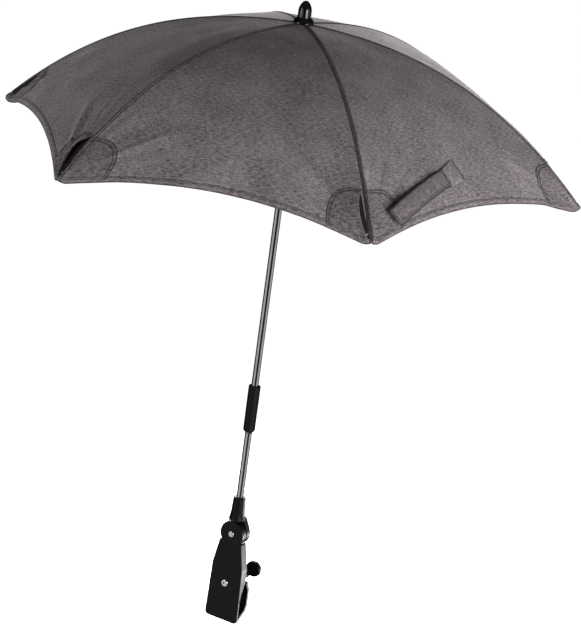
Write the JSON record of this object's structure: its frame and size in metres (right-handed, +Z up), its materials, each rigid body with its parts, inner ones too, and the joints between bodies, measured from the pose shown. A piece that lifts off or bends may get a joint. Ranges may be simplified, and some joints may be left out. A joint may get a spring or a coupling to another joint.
{
  "type": "pram parasol",
  "caption": "Clip-on pram parasol: folding cloth canopy with scalloped hem on bowed ribs, runner and stretchers, bending chrome shaft and a tilting screw clamp for a frame tube.",
  "frame": {"origin": "centre of the round tube that the clamp grips", "axes": "+X along the gripped tube, +Z up the straight shaft, -Y out of the clamp's front face"},
  "size_m": [0.6984, 0.7142, 0.8053],
  "materials": {
    "black_plastic": "black satin moulded plastic",
    "gloss_black": "glossy black moulded plastic",
    "chrome_tube": "bright chrome-plated steel tube",
    "steel": "nickel-plated steel",
    "black_steel": "black painted spring steel",
    "alloy": "turned aluminium",
    "inner_plastic": "plain plastic",
    "rubber_pad": "soft black rubber",
    "canopy_cloth": "grey melange plain-weave polyester"
  },
  "bodies": {
    "clamp": {"clamp_body": "black_plastic", "front_pad": "rubber_pad", "jaw_pin": "steel", "clamp_bolt": "steel", "friction_disc": "black_plastic", "tilt_screw": "steel", "tilt_washer": "steel", "tilt_nut": "steel"},
    "rear_jaw": {"rear_jaw": "black_plastic", "rear_pad": "rubber_pad"},
    "nut_washer": {"thrust_washer": "steel"},
    "wing": {"wing_knob": "black_plastic", "wing_nut": "steel"},
    "lower_shaft": {"tilt_head": "black_plastic", "socket_screw": "steel", "lower_tube": "chrome_tube", "bend_tongue": "alloy"},
    "upper_shaft": {"bend_sleeve": "black_plastic", "bend_pin": "steel", "upper_tube": "chrome_tube", "top_plug": "inner_plastic", "crown": "black_plastic", "crown_wire": "steel", "finial": "gloss_black"},
    "catch": {"spring_catch": "steel"},
    "runner": {"runner": "black_plastic", "runner_wire": "steel"},
    "rib_1": {"rib_1": "black_steel", "tip_cap_1": "black_plastic"},
    "stretcher_1": {"stretcher_1": "black_steel"},
    "gore_1_left": {"gore_1_left": "canopy_cloth"},
    "gore_1_right": {"gore_1_right": "canopy_cloth"},
    "rib_2": {"rib_2": "black_steel", "tip_cap_2": "black_plastic"},
    "stretcher_2": {"stretcher_2": "black_steel"},
    "gore_2_left": {"gore_2_left": "canopy_cloth"},
    "gore_2_right": {"gore_2_right": "canopy_cloth"},
    "rib_3": {"rib_3": "black_steel", "tip_cap_3": "black_plastic"},
    "stretcher_3": {"stretcher_3": "black_steel"},
    "gore_3_left": {"gore_3_left": "canopy_cloth"},
    "gore_3_right": {"gore_3_right": "canopy_cloth"},
    "rib_4": {"rib_4": "black_steel", "tip_cap_4": "black_plastic"},
    "stretcher_4": {"stretcher_4": "black_steel"},
    "gore_4_left": {"gore_4_left": "canopy_cloth"},
    "gore_4_right": {"gore_4_right": "canopy_cloth"},
    "rib_5": {"rib_5": "black_steel", "tip_cap_5": "black_plastic"},
    "stretcher_5": {"stretcher_5": "black_steel"},
    "gore_5_left": {"gore_5_left": "canopy_cloth"},
    "gore_5_right": {"gore_5_right": "canopy_cloth"},
    "rib_6": {"rib_6": "black_steel", "tip_cap_6": "black_plastic"},
    "stretcher_6": {"stretcher_6": "black_steel"},
    "gore_6_left": {"gore_6_left": "canopy_cloth", "tie_strap": "canopy_cloth"},
    "gore_6_right": {"gore_6_right": "canopy_cloth"}
  },
  "joints": [
    {"name": "shaft_tilt", "type": "hinge", "parent": "clamp", "child": "lower_shaft", "pos_m": [0, -0.00553, 0.0905], "axis": [0, 1, 0], "range_deg": [-70, 70]},
    {"name": "shaft_bend", "type": "hinge", "parent": "lower_shaft", "child": "upper_shaft", "pos_m": [0, -0.00553, 0.238], "axis": [-1, 0, 0], "range_deg": [0, 90]},
    {"name": "catch_press", "type": "slide", "parent": "upper_shaft", "child": "catch", "axis": [-0.9759, 0.2181, 0], "range_m": [0, 0.0025], "stiffness_N_per_m": 400},
    {"name": "canopy_fold", "type": "hinge", "parent": "upper_shaft", "child": "rib_1", "pos_m": [0.00859, -0.00283, 0.742], "axis": [-0.299, 0.9542, 0], "range_deg": [0, 65], "deforming": ["gore_1_left", "gore_1_right", "gore_2_left", "gore_2_right", "gore_3_left", "gore_3_right", "gore_4_left", "gore_4_right", "gore_5_left", "gore_5_right", "gore_6_left", "gore_6_right", "tie_strap"]},
    {"name": "wing_turn", "type": "hinge", "parent": "nut_washer", "child": "wing", "pos_m": [0, 0.02, 0.023], "axis": [0, 1, 0], "range_deg": [0, 4824]},
    {"name": "washer_travel", "type": "slide", "parent": "clamp", "child": "nut_washer", "axis": [0, 1, 0], "range_m": [0, 0.0135]},
    {"name": "jaw_swing", "type": "hinge", "parent": "clamp", "child": "rear_jaw", "pos_m": [0, -0.006, 0.052], "axis": [1, 0, 0], "range_deg": [0, 15.69]},
    {"name": "stretcher_swing_1", "type": "hinge", "parent": "rib_1", "child": "stretcher_1", "pos_m": [0.17653, 0.0498, 0.70794], "axis": [-0.299, 0.9542, 0], "range_deg": [-130, 0]},
    {"name": "gore_1_left_fold", "type": "hinge", "parent": "rib_1", "child": "gore_1_left", "pos_m": [0.09556, 0.19115, 0.78228], "axis": [-0.8735, -0.4771, 0.0971], "range_deg": [0, 49.4]},
    {"name": "gore_1_right_fold", "type": "hinge", "parent": "rib_1", "child": "gore_1_right", "pos_m": [0.19071, -0.11249, 0.78228], "axis": [0.9895, 0.1067, -0.0971], "range_deg": [0, 49.4]},
    {"name": "rib_fold_2", "type": "hinge", "parent": "upper_shaft", "child": "rib_2", "pos_m": [0.00196, 0.00326, 0.742], "axis": [-0.9759, 0.2181, 0], "range_deg": [0, 65]},
    {"name": "stretcher_swing_2", "type": "hinge", "parent": "rib_2", "child": "stretcher_2", "pos_m": [0.04036, 0.17502, 0.70794], "axis": [-0.9759, 0.2181, 0], "range_deg": [-130, 0]},
    {"name": "gore_2_left_fold", "type": "hinge", "parent": "rib_2", "child": "gore_2_left", "pos_m": [-0.12255, 0.17557, 0.78228], "axis": [-0.0236, -0.995, 0.0971], "range_deg": [0, 49.4]},
    {"name": "gore_2_right_fold", "type": "hinge", "parent": "rib_2", "child": "gore_2_right", "pos_m": [0.18799, 0.10615, 0.78228], "axis": [0.4023, 0.9103, -0.0971], "range_deg": [0, 49.4]},
    {"name": "rib_fold_3", "type": "hinge", "parent": "upper_shaft", "child": "rib_3", "pos_m": [-0.00662, 0.00057, 0.742], "axis": [-0.6769, -0.7361, 0], "range_deg": [0, 65]},
    {"name": "stretcher_swing_3", "type": "hinge", "parent": "rib_3", "child": "stretcher_3", "pos_m": [-0.13618, 0.1197, 0.70794], "axis": [-0.6769, -0.7361, 0], "range_deg": [-130, 0]},
    {"name": "gore_3_left_fold", "type": "hinge", "parent": "rib_3", "child": "gore_3_left", "pos_m": [-0.21811, -0.02111, 0.78228], "axis": [0.8499, -0.5179, 0.0971], "range_deg": [0, 49.4]},
    {"name": "gore_3_right_fold", "type": "hinge", "parent": "rib_3", "child": "gore_3_right", "pos_m": [-0.00272, 0.21312, 0.78228], "axis": [-0.5872, 0.8036, -0.0971], "range_deg": [0, 49.4]},
    {"name": "rib_fold_4", "type": "hinge", "parent": "upper_shaft", "child": "rib_4", "pos_m": [-0.00859, -0.00822, 0.742], "axis": [0.299, -0.9542, 0], "range_deg": [0, 65]},
    {"name": "stretcher_swing_4", "type": "hinge", "parent": "rib_4", "child": "stretcher_4", "pos_m": [-0.17653, -0.06085, 0.70794], "axis": [0.299, -0.9542, 0], "range_deg": [-130, 0]},
    {"name": "gore_4_left_fold", "type": "hinge", "parent": "rib_4", "child": "gore_4_left", "pos_m": [-0.09556, -0.2022, 0.78228], "axis": [0.8735, 0.4771, 0.0971], "range_deg": [0, 49.4]},
    {"name": "gore_4_right_fold", "type": "hinge", "parent": "rib_4", "child": "gore_4_right", "pos_m": [-0.19071, 0.10144, 0.78228], "axis": [-0.9895, -0.1067, -0.0971], "range_deg": [0, 49.4]},
    {"name": "rib_fold_5", "type": "hinge", "parent": "upper_shaft", "child": "rib_5", "pos_m": [-0.00196, -0.01431, 0.742], "axis": [0.9759, -0.2181, 0], "range_deg": [0, 65]},
    {"name": "stretcher_swing_5", "type": "hinge", "parent": "rib_5", "child": "stretcher_5", "pos_m": [-0.04036, -0.18607, 0.70794], "axis": [0.9759, -0.2181, 0], "range_deg": [-130, 0]},
    {"name": "gore_5_left_fold", "type": "hinge", "parent": "rib_5", "child": "gore_5_left", "pos_m": [0.12255, -0.18662, 0.78228], "axis": [0.0236, 0.995, 0.0971], "range_deg": [0, 49.4]},
    {"name": "gore_5_right_fold", "type": "hinge", "parent": "rib_5", "child": "gore_5_right", "pos_m": [-0.18799, -0.11721, 0.78228], "axis": [-0.4023, -0.9103, -0.0971], "range_deg": [0, 49.4]},
    {"name": "rib_fold_6", "type": "hinge", "parent": "upper_shaft", "child": "rib_6", "pos_m": [0.00662, -0.01162, 0.742], "axis": [0.6769, 0.7361, 0], "range_deg": [0, 65]},
    {"name": "stretcher_swing_6", "type": "hinge", "parent": "rib_6", "child": "stretcher_6", "pos_m": [0.13618, -0.13075, 0.70794], "axis": [0.6769, 0.7361, 0], "range_deg": [-130, 0]},
    {"name": "gore_6_left_fold", "type": "hinge", "parent": "rib_6", "child": "gore_6_left", "pos_m": [0.21811, 0.01006, 0.78228], "axis": [-0.8499, 0.5179, 0.0971], "range_deg": [0, 49.4]},
    {"name": "gore_6_right_fold", "type": "hinge", "parent": "rib_6", "child": "gore_6_right", "pos_m": [0.00272, -0.22417, 0.78228], "axis": [0.5872, -0.8036, -0.0971], "range_deg": [0, 49.4]},
    {"name": "runner_slide", "type": "hinge", "parent": "stretcher_1", "child": "runner", "pos_m": [0.00859, -0.00283, 0.67388], "axis": [-0.299, 0.9542, 0], "range_deg": [0, 65]}
  ],
  "couplings": [
    {"joint": "washer_travel", "follows": "wing_turn", "m_per_rad": 0.00015915},
    {"joint": "jaw_swing", "follows": "wing_turn", "ratio": 0.0032481},
    {"joint": "stretcher_swing_1", "follows": "canopy_fold", "ratio": -2},
    {"joint": "gore_1_left_fold", "follows": "canopy_fold", "ratio": 0.75877},
    {"joint": "gore_1_right_fold", "follows": "canopy_fold", "ratio": 0.75877},
    {"joint": "rib_fold_2", "follows": "canopy_fold", "ratio": 1},
    {"joint": "stretcher_swing_2", "follows": "canopy_fold", "ratio": -2},
    {"joint": "gore_2_left_fold", "follows": "canopy_fold", "ratio": 0.75877},
    {"joint": "gore_2_right_fold", "follows": "canopy_fold", "ratio": 0.75877},
    {"joint": "rib_fold_3", "follows": "canopy_fold", "ratio": 1},
    {"joint": "stretcher_swing_3", "follows": "canopy_fold", "ratio": -2},
    {"joint": "gore_3_left_fold", "follows": "canopy_fold", "ratio": 0.75877},
    {"joint": "gore_3_right_fold", "follows": "canopy_fold", "ratio": 0.75877},
    {"joint": "rib_fold_4", "follows": "canopy_fold", "ratio": 1},
    {"joint": "stretcher_swing_4", "follows": "canopy_fold", "ratio": -2},
    {"joint": "gore_4_left_fold", "follows": "canopy_fold", "ratio": 0.75877},
    {"joint": "gore_4_right_fold", "follows": "canopy_fold", "ratio": 0.75877},
    {"joint": "rib_fold_5", "follows": "canopy_fold", "ratio": 1},
    {"joint": "stretcher_swing_5", "follows": "canopy_fold", "ratio": -2},
    {"joint": "gore_5_left_fold", "follows": "canopy_fold", "ratio": 0.75877},
    {"joint": "gore_5_right_fold", "follows": "canopy_fold", "ratio": 0.75877},
    {"joint": "rib_fold_6", "follows": "canopy_fold", "ratio": 1},
    {"joint": "stretcher_swing_6", "follows": "canopy_fold", "ratio": -2},
    {"joint": "gore_6_left_fold", "follows": "canopy_fold", "ratio": 0.75877},
    {"joint": "gore_6_right_fold", "follows": "canopy_fold", "ratio": 0.75877},
    {"joint": "runner_slide", "follows": "canopy_fold", "ratio": 1}
  ]
}
